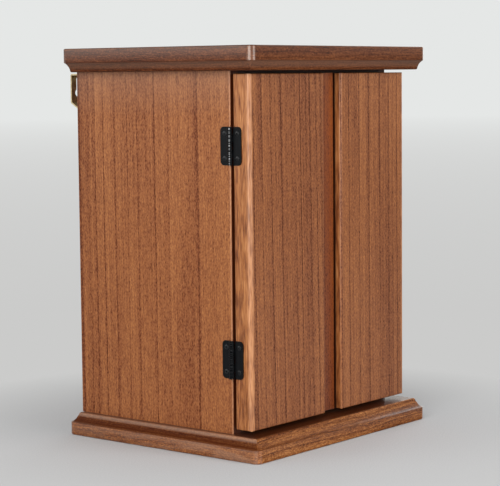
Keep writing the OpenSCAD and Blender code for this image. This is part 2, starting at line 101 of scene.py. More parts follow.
class Shader:
    """A material's node tree, with short typed helpers for its nodes."""

    def __init__(self, name: str) -> None:
        """Starts an empty tree that holds one surface shader.

        Args:
            name: name of the material.
        """
        self.material = bpy.data.materials.new(name)
        self.material.use_nodes = True
        self.tree = self.material.node_tree
        self.tree.nodes.clear()
        self.output = self.tree.nodes.new("ShaderNodeOutputMaterial")
        self.surface = self.tree.nodes.new("ShaderNodeBsdfPrincipled")
        self.join(self.surface.outputs["BSDF"], self.output.inputs["Surface"])

    def join(self, start: Socket, end: Socket) -> None:
        """Links two sockets."""
        self.tree.links.new(start, end)

    def feed(self, socket: Socket, value: Value) -> None:
        """Links or sets a socket, whichever the value asks for."""
        if isinstance(value, bpy.types.NodeSocket):
            self.join(value, socket)
        else:
            socket.default_value = value

    def position(self) -> tuple[Socket, Socket, Socket]:
        """Place in the shared frame, in metres.

        Returns:
            The x, y and z sockets.
        """
        source = self.tree.nodes.new("ShaderNodeTexCoord")
        parts = self.tree.nodes.new("ShaderNodeSeparateXYZ")
        self.join(source.outputs["Object"], parts.inputs[0])
        return parts.outputs[0], parts.outputs[1], parts.outputs[2]

    def vector(self, x: Value, y: Value, z: Value) -> Socket:
        """A vector made from three values."""
        node = self.tree.nodes.new("ShaderNodeCombineXYZ")
        for socket, value in zip(node.inputs, (x, y, z)):
            self.feed(socket, value)
        return node.outputs[0]

    def maths(self, operation: str, first: Value, second: Value = 0.0,
              third: Value = 0.0, clamp: bool = False) -> Socket:
        """One step of arithmetic.

        Args:
            operation: Blender's name of the operation.
            first: first operand.
            second: second operand, if the operation takes one.
            third: third operand, if the operation takes one.
            clamp: whether the result is kept between 0 and 1.

        Returns:
            The result.
        """
        node = self.tree.nodes.new("ShaderNodeMath")
        node.operation = operation
        node.use_clamp = clamp
        for socket, value in zip(node.inputs, (first, second, third)):
            self.feed(socket, value)
        return node.outputs[0]

    def noise(self, vector: Socket, scale: float = 1.0, detail: float = 2.0,
              roughness: float = 0.5) -> Socket:
        """Smooth noise between 0 and 1, about 0.5 on average.

        Args:
            vector: where the noise is read.
            scale: how many of its lumps fit in one unit of the vector.
            detail: number of finer octaves.
            roughness: weight of the finer octaves.

        Returns:
            The noise value.
        """
        node = self.tree.nodes.new("ShaderNodeTexNoise")
        self.join(vector, node.inputs["Vector"])
        node.inputs["Scale"].default_value = scale
        node.inputs["Detail"].default_value = detail
        node.inputs["Roughness"].default_value = roughness
        return node.outputs[0]

    def span(self, value: Value, low: float, high: float, start: float = 0.0,
             end: float = 1.0) -> Socket:
        """Maps a range of a value on another, clamped at both ends.

        Args:
            value: the value to map.
            low: where the range begins.
            high: where the range ends.
            start: result at and before low.
            end: result at and after high.

        Returns:
            The mapped value.
        """
        node = self.tree.nodes.new("ShaderNodeMapRange")
        self.feed(node.inputs[0], value)
        for socket, number in zip(node.inputs[1:5], (low, high, start, end)):
            socket.default_value = number
        return node.outputs[0]

    def ramp(self, factor: Value, stops: Sequence[tuple[float, tuple]]) -> Socket:
        """A colour that runs through stops.

        Args:
            factor: position between 0 and 1.
            stops: position and linear colour of each stop, in order.

        Returns:
            The colour.
        """
        node = self.tree.nodes.new("ShaderNodeValToRGB")
        self.feed(node.inputs[0], factor)
        elements = node.color_ramp.elements
        elements[0].position, elements[0].color = stops[0]
        elements[1].position, elements[1].color = stops[-1]
        for place, colour in stops[1:-1]:
            elements.new(place).color = colour
        return node.outputs[0]

    def mix(self, factor: Value, first: Union[Socket, tuple], second: Union[Socket, tuple],
            blend: str = "MIX") -> Socket:
        """Mixes two colours.

        Args:
            factor: share of the second colour.
            first: first colour.
            second: second colour.
            blend: Blender's name of the way of mixing.

        Returns:
            The mixed colour.
        """
        node = self.tree.nodes.new("ShaderNodeMix")
        node.data_type = "RGBA"
        node.blend_type = blend
        self.feed(node.inputs["Factor"], factor)
        for socket, value in zip(node.inputs[6:8], (first, second)):
            self.feed(socket, value)
        return node.outputs[2]

    def bump(self, height: Socket, depth: float, strength: float = 1.0) -> None:
        """Presses a height pattern into the surface.

        Args:
            height: pattern between 0 and 1.
            depth: depth of a full step, in metres.
            strength: share of the depth that shows.
        """
        node = self.tree.nodes.new("ShaderNodeBump")
        node.inputs["Distance"].default_value = depth
        node.inputs["Strength"].default_value = strength
        self.join(height, node.inputs["Height"])
        self.join(node.outputs[0], self.surface.inputs["Normal"])

    def put(self, **values: Value) -> None:
        """Sets or links the surface shader's sockets, named with underscores."""
        for name, value in values.items():
            self.feed(self.surface.inputs[name.replace("_", " ")], value)


@dataclass(frozen=True)
class GrowthLine:
    """A dark line between two growth rings, as it crosses a face."""

    at: float
    depth: float = 1.0
    width: float = 1.3
    before: float = -0.05
    after: float = 0.06


@dataclass(frozen=True)
class Stain:
    """Colours of a stained wood, from its pores to its palest growth."""

    pore: Colour
    dark: Colour
    middle: Colour
    light: Colour

    def stops(self) -> list[tuple[float, tuple]]:
        """The colours as stops of a ramp."""
        return [(0.0, linear(self.pore)), (0.3, linear(self.dark)),
                (0.58, linear(self.middle)), (1.0, linear(self.light))]


CABINET_STAIN = Stain(pore=(62, 24, 6), dark=(98, 46, 18), middle=(131, 75, 36),
                      light=(164, 106, 60))
DOOR_STAIN = Stain(pore=(60, 23, 6), dark=(97, 47, 18), middle=(131, 76, 36),
                   light=(166, 108, 62))
LIPPING_STAIN = Stain(pore=(66, 28, 8), dark=(106, 56, 24), middle=(147, 91, 48),
                      light=(188, 132, 84))
TOP_STAIN = Stain(pore=(26, 9, 3), dark=(50, 21, 8), middle=(77, 38, 18),
                  light=(112, 66, 38))
BASE_STAIN = Stain(pore=(42, 18, 5), dark=(80, 38, 14), middle=(124, 73, 35),
                   light=(178, 122, 72))
INNER_STAIN = Stain(pore=(84, 40, 14), dark=(130, 72, 34), middle=(164, 102, 54),
                    light=(198, 138, 86))
# Painted shade: dark brown laid where shade falls, in gaps, in the groove's corner, in coves and
# creases, and on the base's ledge under the doors.
PAINTED_SHADE = (66, 24, 6)
# Painted deep shade: near black for the gaps around and between the doors and the underside above
# them.
PAINTED_DEEP_SHADE = (34, 11, 4)
# Painted shade: multiplied onto the tongue's floor in the groove between the doors.
GROOVE_FLOOR_SHADE = (218, 176, 84)
# Painted highlight: pale colour laid along rounded arrises.
PAINTED_HIGHLIGHT = (206, 154, 118)

# Lumps of noise in a metre, across the grain and along it.
FINE_GRID = (1050.0, 88.0)
CLOUD_GRID = (34.0, 2.2)
THREAD_GRID = (520.0, 4.5)
RIPPLE_GRID = (900.0, 420.0)
WANDER_GRID = (11.0, 3.0)

# Outwards and forwards parts of the direction in which a knuckle is rubbed bright.
CROWN = (0.857, 0.515)
# Painted sheen: greyish colour that stands in for reflections and highlights on the boards and at
# the top of the side panels.
PAINTED_SHEEN = (136, 108, 92)


@dataclass(frozen=True)
class StainedWood:
    """Straight-grained wood under a brown stain and a satin lacquer.

    The pattern is solid: streaks and pores run along the grain, and the growth
    lines stand where across says, drifting a little as the trunk leans.
    """

    name: str
    stain: Stain
    slot: str
    grain: Axis = Axis.Z
    across: Axis = Axis.X
    start: float = 0.0
    end: float = 0.3
    lines: tuple[GrowthLine, ...] = ()
    lean: float = 0.0
    pivot: float = 0.2
    level: float = 0.6
    line_pitch: float = 14 * MM
    wander: float = 2.4 * MM
    line_depth: float = 0.4
    streaks: float = 0.7
    clouds: float = 0.42
    threads: float = 0.6
    ripple: float = 0.95
    pores: float = 0.14
    seed: float = 0.0
    roughness: float = 0.42
    gloss: float = 0.4
    coat: float = 0.3
    sheen_tint: Colour = (255, 240, 224)

    def material(self) -> bpy.types.Material:
        """Builds the finish.

        Returns:
            The new material.
        """
        shader = Shader(self.name)
        place = shader.position()
        tone, pores = self.tone(shader, place)
        colour = self.colour(shader, place, shader.ramp(tone, self.stain.stops()))
        shader.join(colour, shader.surface.inputs["Base Color"])
        self.lacquer(shader, tone, pores)
        return shader.material

    def colour(self, shader: Shader, place: Sequence[Socket], face: Socket) -> Socket:
        """Colour of the whole piece, which is its face's colour unless a kind says otherwise.

        Args:
            shader: tree to build in.
            place: x, y and z sockets.
            face: colour of the face's wood.

        Returns:
            The colour.
        """
        return face

    def tone(self, shader: Shader, place: Sequence[Socket]) -> tuple[Socket, Socket]:
        """Works out how pale the wood is at each point.

        Args:
            shader: tree to build in.
            place: x, y and z sockets.

        Returns:
            The tone between 0 and 1, and the pores between 0 and 1.
        """
        along = place[self.grain.value]
        third = ({0, 1, 2} - {self.grain.value, self.across.value}).pop()
        return self.pattern(shader, place[self.across.value], place[third], along)

    def pattern(self, shader: Shader, across: Value, third: Value,
                along: Value) -> tuple[Socket, Socket]:
        """Grain pattern of a board, from its own three directions.

        Args:
            shader: tree to build in.
            across: position across the grain, on the wide face.
            third: position through the thickness.
            along: position along the grain.

        Returns:
            The tone between 0 and 1, and the pores between 0 and 1.
        """
        depth = shader.maths("ADD", third, self.seed)
        slow = shader.noise(self.grid(shader, across, depth, along, *WANDER_GRID), detail=1.0)
        wander = shader.maths("MULTIPLY_ADD", slow, self.wander, across)
        leant = shader.maths("MULTIPLY_ADD", shader.maths("SUBTRACT", along, self.pivot),
                             self.lean, wander)
        fine = self.grid(shader, leant, depth, along, *FINE_GRID)
        pore_noise = shader.noise(fine, scale=1.7, detail=1.0)
        pores = shader.span(pore_noise, 0.56, 0.66)
        tone = self.rings(shader, leant)
        for pattern, weight in (
                (shader.noise(fine, detail=2.0, roughness=0.6), self.streaks),
                (shader.noise(self.grid(shader, leant, depth, along, *CLOUD_GRID),
                              detail=2.0), self.clouds),
                (shader.noise(self.grid(shader, leant, depth, along, *THREAD_GRID),
                              detail=2.0), self.threads),
                (shader.noise(self.grid(shader, across, depth, along, *RIPPLE_GRID),
                              detail=1.0), self.ripple)):
            tone = shader.maths("MULTIPLY_ADD", shader.maths("SUBTRACT", pattern, 0.5),
                                weight, tone)
        tone = shader.maths("MULTIPLY_ADD", pores, -self.pores, tone, clamp=True)
        return tone, pores

    def grid(self, shader: Shader, across: Value, depth: Value, along: Value,
             fine: float, coarse: float) -> Socket:
        """A place in the wood, stretched along the grain.

        Args:
            shader: tree to build in.
            across: position across the grain.
            depth: position through the thickness.
            along: position along the grain.
            fine: how many lumps of noise a metre holds across the grain.
            coarse: how many it holds along the grain.

        Returns:
            The vector at which a noise is read.
        """
        return shader.vector(shader.maths("MULTIPLY", across, fine),
                             shader.maths("MULTIPLY", depth, fine),
                             shader.maths("MULTIPLY", along, coarse))

    def rings(self, shader: Shader, across: Socket) -> Socket:
        """Tone of the growth rings alone.

        Args:
            shader: tree to build in.
            across: position across the grain, already wandering.

        Returns:
            A tone, which is the wood's level where nothing darkens it.
        """
        plain = self.level
        if not self.lines:
            turn = shader.maths("DIVIDE", across, self.line_pitch)
            uneven = shader.noise(shader.vector(shader.maths("MULTIPLY", across, 40.0),
                                                self.seed, 0.0), detail=1.0)
            count = shader.maths("MULTIPLY_ADD", uneven, 1.6, turn)
            part = shader.maths("FRACT", count)
            dip = plain - self.line_depth
            return shader.ramp(part, [(place, (tone, tone, tone, 1.0)) for place, tone in (
                (0.0, dip), (0.07, plain + 0.02), (0.82, plain - 0.02), (1.0, dip + 0.05))])
        length = self.end - self.start
        share = shader.span(across, self.start + self.wander / 2, self.end + self.wander / 2)
        stops: list[tuple[float, tuple]] = []
        for line in self.lines:
            middle = line.at * MM / length
            half = line.width * MM / length
            for offset, tone in ((-1.5 * half, plain + line.before),
                                 (0.0, plain - self.line_depth * line.depth),
                                 (0.8 * half, plain + line.after)):
                place = min(1.0, max(0.0, middle + offset))
                if stops and place <= stops[-1][0]:
                    place = stops[-1][0] + 0.0005
                stops.append((place, (tone, tone, tone, 1.0)))
        return shader.ramp(share, stops)

    def lacquer(self, shader: Shader, tone: Socket, pores: Socket) -> None:
        """Sheen and relief of the lacquered surface.

        Args:
            shader: tree to build in.
            tone: tone of the wood.
            pores: where the pores are.
        """
        sheen = shader.span(tone, 0.2, 0.9, self.roughness + 0.07, self.roughness - 0.05)
        closed = shader.span(tone, 0.1, 0.5, 0.4, 1.04)
        shader.put(Roughness=sheen, Coat_Roughness=0.24,
                   Coat_Weight=shader.maths("MULTIPLY", closed, self.coat),
                   Coat_Tint=linear(self.sheen_tint),
                   Specular_IOR_Level=shader.maths("MULTIPLY", closed, self.gloss),
                   Specular_Tint=linear(self.sheen_tint))
        relief = shader.maths("MULTIPLY_ADD", pores, -0.7, tone)
        shader.bump(relief, 0.10 * MM, 0.35)


@dataclass(frozen=True)
class SidePanelWood(StainedWood):
    """Side panel wood, whose lines are measured from the back edge forwards."""

    face_x: float = 0.131
    arris_r: float = 1.5 * MM
    veil_z: float = 0.376

    def tone(self, shader: Shader, place: Sequence[Socket]) -> tuple[Socket, Socket]:
        """Works out how pale the wood is, with depth counted from the back.

        Args:
            shader: tree to build in.
            place: x, y and z sockets.

        Returns:
            The tone between 0 and 1, and the pores between 0 and 1.
        """
        forwards = shader.maths("MULTIPLY", place[1], -1.0)
        return self.pattern(shader, forwards, place[0], place[2])

    def colour(self, shader: Shader, place: Sequence[Socket], face: Socket) -> Socket:
        """Paints shade on the front edge beside the door, a highlight on the front arris, and a
        pale grey sheen near the top.

        Args:
            shader: tree to build in.
            place: x, y and z sockets.
            face: colour of the face's wood.

        Returns:
            The colour.
        """
        behind = shader.maths("ADD", place[1], self.end)
        inside = shader.maths("SUBTRACT", self.face_x, shader.maths("ABSOLUTE", place[0]))
        # Painted shade: the front edge is darkened where the gap beside the door lies in shade.
        gap_shade = shader.maths("MULTIPLY", shader.span(behind, 0.15 * MM, 0.5 * MM, 1.0, 0.0),
                            shader.span(inside, 0.7 * MM, 1.4 * MM))
        # Painted highlight: a pale band along the rounded front arris.
        wear_and_highlight = shader.span(shader.maths("ADD", behind, inside), 0.9 * MM, self.arris_r,
                           0.25, 0.0)
        # Painted sheen: a pale grey veil fading in over the top of the panel, under the top board.
        top_sheen = shader.span(place[2], self.veil_z - 45 * MM, self.veil_z - 5 * MM, 0.0, 0.25)
        top_sheened = shader.mix(top_sheen, face, linear(PAINTED_SHEEN))
        return shader.mix(wear_and_highlight, shader.mix(gap_shade, top_sheened, linear(PAINTED_SHADE)),
                          linear(PAINTED_HIGHLIGHT))


@dataclass(frozen=True)
class InnerBoardWood(StainedWood):
    """The finish of the inner boards, with painted shade on their front edges."""

    front: float = -0.085

    def colour(self, shader: Shader, place: Sequence[Socket], face: Socket) -> Socket:
        """Paints deep shade on the front edge, which shows in the gaps above and below the doors.

        Args:
            shader: tree to build in.
            place: x, y and z sockets.
            face: colour of the face's wood.

        Returns:
            The colour.
        """
        # Painted shade: the front edge is near black, as the gaps around the doors are in shade.
        gap_shade = shader.span(place[1], self.front + 0.1 * MM, self.front + 0.4 * MM, 1.0, 0.0)
        return shader.mix(gap_shade, face, linear(PAINTED_DEEP_SHADE))


@dataclass(frozen=True)
class DoorWood(StainedWood):
    """Veneered door wood with a solid lipping on the outer edge."""

    outer_x: float = -0.131
    inwards: float = 1.0
    lipping_w: float = 4.8 * MM
    front_y: float = -0.108
    arris_r: float = 3.7 * MM
    groove_x: float = 0.0
    groove_y: float = 0.0
    tongue: bool = False

    def colour(self, shader: Shader, place: Sequence[Socket], face: Socket) -> Socket:
        """Lays the lipping's own wood over the door's outer edge, paints a highlight along its
        outer arris, and paints shade into the groove between the doors.

        Args:
            shader: tree to build in.
            place: x, y and z sockets.
            face: colour of the face's wood.

        Returns:
            The colour.
        """
        x, y, z = place
        blotches = shader.noise(self.grid(shader, y, x, z, 150.0, 34.0), detail=3.0,
                                roughness=0.6)
        fine = shader.noise(self.grid(shader, y, x, z, 900.0, 70.0), detail=2.0)
        tone = shader.maths("MULTIPLY_ADD", shader.maths("SUBTRACT", blotches, 0.5), 1.2, 0.52)
        tone = shader.maths("MULTIPLY_ADD", shader.maths("SUBTRACT", fine, 0.5), 1.1, tone,
                            clamp=True)
        inside = shader.maths("MULTIPLY", shader.maths("SUBTRACT", x, self.outer_x),
                              self.inwards)
        lip = shader.span(inside, self.lipping_w, self.lipping_w + 0.3 * MM, 1.0, 0.0)
        edged = shader.mix(lip, face, shader.ramp(tone, LIPPING_STAIN.stops()))
        # Painted highlight: a pale, uneven band along the rounded outer arris.
        ahead = shader.maths("SUBTRACT", y, self.front_y)
        wear_and_highlight = shader.span(shader.maths("ADD", ahead, inside), 0.7 * self.arris_r,
                           1.5 * self.arris_r, 0.3, 0.0)
        uneven = shader.maths("MULTIPLY", wear_and_highlight, shader.span(fine, 0.35, 0.65, 0.6, 1.3))
        edged = shader.mix(uneven, edged, linear(PAINTED_HIGHLIGHT))
        if self.tongue:
            # Painted shade: the tongue's floor in the groove is darkened and made more orange, and
            # darker still in its corner next to the leaf.
            off = shader.maths("ABSOLUTE", shader.maths("SUBTRACT", y, self.groove_y))
            floor = shader.maths("MULTIPLY",
                                 shader.span(x, self.groove_x - 0.3 * MM, self.groove_x),
                                 shader.span(off, 0.3 * MM, 0.9 * MM, 1.0, 0.0))
            corner_shade = shader.maths("MULTIPLY", floor, shader.span(
                x, self.groove_x + 0.6 * MM, self.groove_x + 1.8 * MM, 0.7, 0.0))
            edged = shader.mix(corner_shade, edged, linear(PAINTED_SHADE))
            return shader.mix(floor, edged, shader.mix(1.0, edged, linear(GROOVE_FLOOR_SHADE),
                                                       "MULTIPLY"))
        side = shader.span(x, self.groove_x + 0.1 * MM, self.groove_x + 0.5 * MM, 1.0, 0.0)
        edged = shader.mix(side, edged, shader.ramp(tone, LIPPING_STAIN.stops()))
        # Painted shade: the right door's edge face is near black from the back of the groove
        # onwards, where the gap between the doors lies in shade.
        gap = shader.maths("MULTIPLY", side, shader.span(
            y, self.groove_y - 1.6 * MM, self.groove_y - 0.4 * MM))
        return shader.mix(gap, edged, linear(PAINTED_DEEP_SHADE))


@dataclass(frozen=True)
class LippedWood(StainedWood):
    """The finish of a moulded board, whose grain follows each edge to its mitre."""

    low: tuple[float, float] = (0.0, 0.0)
    high: tuple[float, float] = (0.0, 0.0)
    hollow: tuple[float, float] = (0.0, 0.0)
    # Strength of the painted shade in the cove; it also thins the lacquer there.
    hollow_tone: float = 0.5
    crease: float = 0.0
    flat: float = 0.0
    band: tuple[float, float] = (0.0, 1.0)
    # Painted light: a tone added on the front edges, and one on the side edges, negative for
    # painted shade.
    front_shift: float = 0.0
    side_shift: float = 0.0
    # Share of the cove's painted shade on the front edges, and the cove's painted colour: painted
    # shade on the base board, a painted grey sheen on the top board.
    front_hollow: float = 0.2
    hollow_stain: Colour = PAINTED_SHADE
    # Strength of the painted grey sheen patches on the side bands.
    weathered: float = 0.0
    shoulder_sheen: float = 1.0
    top_z: float = 0.4
    # Colour of the painted shade on the flat ledge.
    ledge: Colour = PAINTED_DEEP_SHADE
    shoulder_r: float = 2.2 * MM
    # Strength of the painted highlight on the side shoulders.
    rubbed: float = 0.0

    def colour(self, shader: Shader, place: Sequence[Socket], face: Socket) -> Socket:
        """Paints light and shade: shade in the cove and along its crease (a grey sheen in the top
        board's cove instead), sheen patches on the upper side bands, a highlight on the side
        shoulders, and deep shade on the flat ledge.

        Args:
            shader: tree to build in.
            place: x, y and z sockets.
            face: colour of the face's wood.

        Returns:
            The colour.
        """
        x, y, z = place
        side = self.on_side(shader, x, y)
        # Painted shade in the cove, strongest near the crease and weaker on the front edges; the
        # top board's cove gets a painted grey sheen instead.
        inside = shader.maths("MULTIPLY", self.in_hollow(shader, z),
                              shader.span(side, 0.0, 1.0, self.front_hollow, 1.0))
        off = shader.maths("ABSOLUTE", shader.maths("SUBTRACT", z, self.crease))
        deep = shader.span(off, 1.0 * MM, 6.0 * MM, self.hollow_tone, 0.5 * self.hollow_tone)
        light_painted = shader.mix(shader.maths("MULTIPLY", inside, deep), face,
                              linear(self.hollow_stain))
        # Painted sheen: wavy grey patches on the upper part of the side bands, stronger towards the
        # front.
        waves = shader.noise(shader.vector(shader.maths("MULTIPLY", y, 26.0),
                                           shader.maths("MULTIPLY", z, 170.0), self.seed),
                             detail=2.0)
        low, high = self.band
        sheen_patch = shader.maths("MULTIPLY", shader.span(waves, 0.42, 0.58, 0.2, 1.0),
                             shader.span(z, low, high, 0.6, 1.0))
        on_band = shader.maths("MULTIPLY", side,
                               shader.span(z, high - 0.2 * MM, high + 0.2 * MM, 1.0, 0.0))
        sheen_patch = shader.maths("MULTIPLY", shader.maths("MULTIPLY", sheen_patch, on_band),
                             shader.span(y, self.low[1], self.high[1], self.weathered,
                                         0.3 * self.weathered))
        light_painted = shader.mix(sheen_patch, light_painted, linear(PAINTED_SHEEN))
        # Painted shade: a dark line along the crease where the band meets the cove.
        line = shader.maths("MULTIPLY", shader.span(off, 0.15 * MM, 0.7 * MM, 0.65, 0.0),
                            shader.span(side, 0.0, 1.0, 0.4, 1.0))
        lined = shader.mix(line, light_painted, linear(PAINTED_SHADE))
        # Painted highlight: a grey band along the side shoulders next to the flat ledge.
        depth = shader.maths("ABSOLUTE", shader.maths("SUBTRACT", z, self.flat))
        rubbed = shader.span(depth, self.shoulder_r + 1.0 * MM, self.shoulder_r + 2.4 * MM,
                             self.rubbed, 0.0)
        lined = shader.mix(shader.maths("MULTIPLY", rubbed, side), lined,
                           linear(PAINTED_SHEEN))
        # Painted shade: the flat ledge is darkened, under the doors on the base board and over them
        # on the top board.
        level = shader.span(depth, 0.05 * MM, 0.4 * MM, 0.85, 0.0)
        return shader.mix(level, lined, linear(self.ledge))

    def in_hollow(self, shader: Shader, z: Socket) -> Socket:
        """Share of the cove at a height, 1 in its middle and 0 outside it."""
        start, end = self.hollow
        soft = 0.8 * MM
        return shader.maths("MULTIPLY", shader.span(z, start - soft, start + soft),
                            shader.span(z, end - soft, end + soft, 1.0, 0.0))

    def lacquer(self, shader: Shader, tone: Socket, pores: Socket) -> None:
        """Sheen and relief, thinner where the lacquer ran out of the cove.

        Args:
            shader: tree to build in.
            tone: tone of the wood.
            pores: where the pores are.
        """
        super().lacquer(shader, tone, pores)
        x, y, z = shader.position()
        inside = shader.maths("MULTIPLY", self.in_hollow(shader, z),
                              self.on_side(shader, x, y))
        thin = shader.span(inside, 0.0, 1.0, 1.0, 1.0 - 0.9 * self.hollow_tone)
        low, high = self.band
        thick = shader.maths("MULTIPLY", thin, shader.span(z, low, high, 0.1, 1.0))
        thick = shader.maths("MULTIPLY", thick, shader.span(
            self.on_side(shader, x, y), 0.0, 1.0, 0.45, 1.0))
        thick = shader.maths("MULTIPLY", thick, shader.span(
            z, self.crease + 4 * MM, self.crease + 5 * MM, 1.0, self.shoulder_sheen))
        aside, ahead = self.from_edges(shader, x, y)
        corner = shader.span(shader.maths("ADD", aside, ahead), 6.0 * MM, 6.8 * MM, 1.0, 0.0)
        thick = shader.maths("MAXIMUM", thick, corner)
        top = shader.span(z, self.top_z - 0.25 * MM, self.top_z - 0.1 * MM)
        thick = shader.maths("MULTIPLY_ADD", top, shader.maths("SUBTRACT", 0.7, thick), thick)
        shader.put(Coat_Weight=shader.maths("MULTIPLY", thick, self.coat),
                   Specular_IOR_Level=shader.maths("MULTIPLY", thick, self.gloss))

    def on_side(self, shader: Shader, x: Socket, y: Socket) -> Socket:
        """1 on the two edges whose grain runs from front to back, 0 elsewhere."""
        aside, ahead = self.from_edges(shader, x, y)
        return shader.maths("MULTIPLY", shader.maths("LESS_THAN", aside, ahead),
                            shader.maths("LESS_THAN", aside, 24 * MM))

    def from_edges(self, shader: Shader, x: Socket, y: Socket) -> tuple[Socket, Socket]:
        """Depths behind the nearer side edge and behind the nearer front or back edge."""
        aside = shader.maths("MINIMUM", shader.maths("SUBTRACT", x, self.low[0]),
                             shader.maths("SUBTRACT", self.high[0], x))
        ahead = shader.maths("MINIMUM", shader.maths("SUBTRACT", y, self.low[1]),
                             shader.maths("SUBTRACT", self.high[1], y))
        return aside, ahead

    def tone(self, shader: Shader, place: Sequence[Socket]) -> tuple[Socket, Socket]:
        """Works out how pale the wood is at each point.

        Args:
            shader: tree to build in.
            place: x, y and z sockets.

        Returns:
            The tone between 0 and 1, and the pores between 0 and 1.
        """
        x, y, z = place
        on_side = self.on_side(shader, x, y)
        along = self.either(shader, on_side, y, x)
        across = self.either(shader, on_side, x, y)
        slope = shader.noise(shader.vector(shader.maths("MULTIPLY", along, 9.0),
                                           shader.maths("MULTIPLY", across, 20.0),
                                           self.seed), detail=1.0)
        height = shader.maths("MULTIPLY_ADD", slope, 16 * MM, z)
        tone, pores = self.pattern(shader, height, across, along)
        # Painted light: the front edges are painted paler and the side edges darker, for how the
        # light falls on them.
        painted_light_shift = shader.span(on_side, 0.0, 1.0, self.front_shift, self.side_shift)
        return shader.maths("ADD", tone, painted_light_shift, clamp=True), pores

    def either(self, shader: Shader, choice: Socket, first: Socket, second: Socket) -> Socket:
        """The first value where choice is 1, else the second."""
        gap = shader.maths("SUBTRACT", first, second)
        return shader.maths("MULTIPLY_ADD", gap, choice, second)


@dataclass(frozen=True)
class BlackIron:
    """Stoved black lacquer on sheet iron, worn a little and softly shiny."""

    name: str = "black_hinge_lacquer"
    slot: str = "hinge_black"
    axis_x: float = 133.45 * MM
    axis_y: float = -85.6 * MM
    knuckle_r: float = 2.65 * MM
    gloss: float = 0.12
    dull: tuple[float, float] = (0.30, 0.42)

    def material(self) -> bpy.types.Material:
        """Builds the finish.

        Returns:
            The new material.
        """
        shader = Shader(self.name)
        x, y, z = shader.position()
        where = shader.vector(x, y, z)
        cloud = shader.noise(where, scale=420.0, detail=3.0)
        grit = shader.noise(where, scale=2600.0, detail=2.0)
        colour = shader.ramp(cloud, [(0.25, linear((5, 6, 7))), (0.75, linear((11, 12, 14)))])
        shader.join(colour, shader.surface.inputs["Base Color"])
        out = shader.maths("SUBTRACT", shader.maths("ABSOLUTE", x), self.axis_x)
        crown = shader.maths("MULTIPLY_ADD", out, CROWN[0], shader.maths(
            "MULTIPLY", shader.maths("SUBTRACT", self.axis_y, y), CROWN[1]))
        wear_and_highlight = shader.maths("MULTIPLY", shader.span(out, 0.2 * MM, 0.6 * MM), shader.span(
            crown, self.knuckle_r - 0.30 * MM, self.knuckle_r - 0.14 * MM))
        dull = shader.span(grit, 0.3, 0.7, *self.dull)
        chips = shader.noise(shader.vector(0.0, 0.0, z), scale=560.0, detail=3.0)
        glint = shader.maths("MULTIPLY", shader.span(chips, 0.47, 0.57, 0.04, 1.0),
                             shader.span(z, 0.12, 0.28, 0.3, 1.0))
        smooth = shader.maths("MULTIPLY_ADD", wear_and_highlight, -1.0, 1.0)
        shader.put(Roughness=shader.maths("MULTIPLY_ADD", dull, smooth,
                                          shader.maths("MULTIPLY", wear_and_highlight, 0.05)),
                   Specular_IOR_Level=shader.maths("MULTIPLY_ADD", wear_and_highlight,
                                                   shader.maths("SUBTRACT", glint, self.gloss),
                                                   self.gloss))
        shader.bump(shader.maths("MULTIPLY", grit, smooth), 0.03 * MM, 0.4)
        return shader.material


@dataclass(frozen=True)
class AgedBrass:
    """Brass sheet, rolled and lightly tarnished."""

    name: str = "aged_brass"
    slot: str = "brass"

    def material(self) -> bpy.types.Material:
        """Builds the finish.

        Returns:
            The new material.
        """
        shader = Shader(self.name)
        x, y, z = shader.position()
        cloud = shader.noise(shader.vector(x, y, z), scale=260.0, detail=3.0)
        rolled = shader.noise(shader.vector(shader.maths("MULTIPLY", x, 9.0), y, z),
                              scale=900.0, detail=2.0)
        colour = shader.ramp(cloud, [(0.25, linear((148, 130, 98))), (0.5, linear((184, 166, 130))),
                                     (0.8, linear((214, 200, 166)))])
        shader.join(colour, shader.surface.inputs["Base Color"])
        shader.put(Metallic=1.0, Roughness=shader.span(cloud, 0.3, 0.7, 0.32, 0.48))
        shader.bump(rolled, 0.02 * MM, 0.4)
        return shader.material


@dataclass(frozen=True)
class NickelSteel:
    """Plated steel with fine brushed lines."""

    name: str = "plated_steel"
    slot: str = "strike_steel"

    def material(self) -> bpy.types.Material:
        """Builds the finish.

        Returns:
            The new material.
        """
        shader = Shader(self.name)
        x, y, z = shader.position()
        brushed = shader.noise(shader.vector(shader.maths("MULTIPLY", x, 0.05), y, z),
                               scale=4200.0, detail=2.0)
        colour = shader.ramp(brushed, [(0.2, linear((168, 168, 166))),
                                       (0.8, linear((206, 206, 204)))])
        shader.join(colour, shader.surface.inputs["Base Color"])
        shader.put(Metallic=1.0, Roughness=shader.span(brushed, 0.3, 0.7, 0.26, 0.36))
        shader.bump(brushed, 0.01 * MM, 0.4)
        return shader.material


@dataclass(frozen=True)
class BrownPlastic:
    """Matt moulded plastic of the catches."""

    name: str = "brown_catch_plastic"
    slot: str = "catch_plastic"

    def material(self) -> bpy.types.Material:
        """Builds the finish.

        Returns:
            The new material.
        """
        shader = Shader(self.name)
        x, y, z = shader.position()
        where = shader.vector(x, y, z)
        spark = shader.noise(where, scale=5200.0, detail=2.0)
        cloud = shader.noise(where, scale=150.0, detail=2.0)
        colour = shader.ramp(cloud, [(0.2, linear((52, 36, 28))), (0.8, linear((66, 46, 36)))])
        shader.join(colour, shader.surface.inputs["Base Color"])
        shader.put(Roughness=shader.span(spark, 0.3, 0.7, 0.42, 0.55))
        shader.bump(spark, 0.04 * MM, 0.5)
        return shader.material


def dress(nodes: Sequence[str], finish: Union[StainedWood, BlackIron, AgedBrass, NickelSteel,
                                              BrownPlastic]) -> None:
    """Gives CAD nodes a finish in place of their plain one.

    Args:
        nodes: names of the nodes.
        finish: the finish they share.
    """
    material = finish.material()
    for name in nodes:
        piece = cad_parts[name]
        piece.data.materials.clear()
        piece.data.materials.append(material)
        LOG.info("%s is finished in %s", name, finish.name)


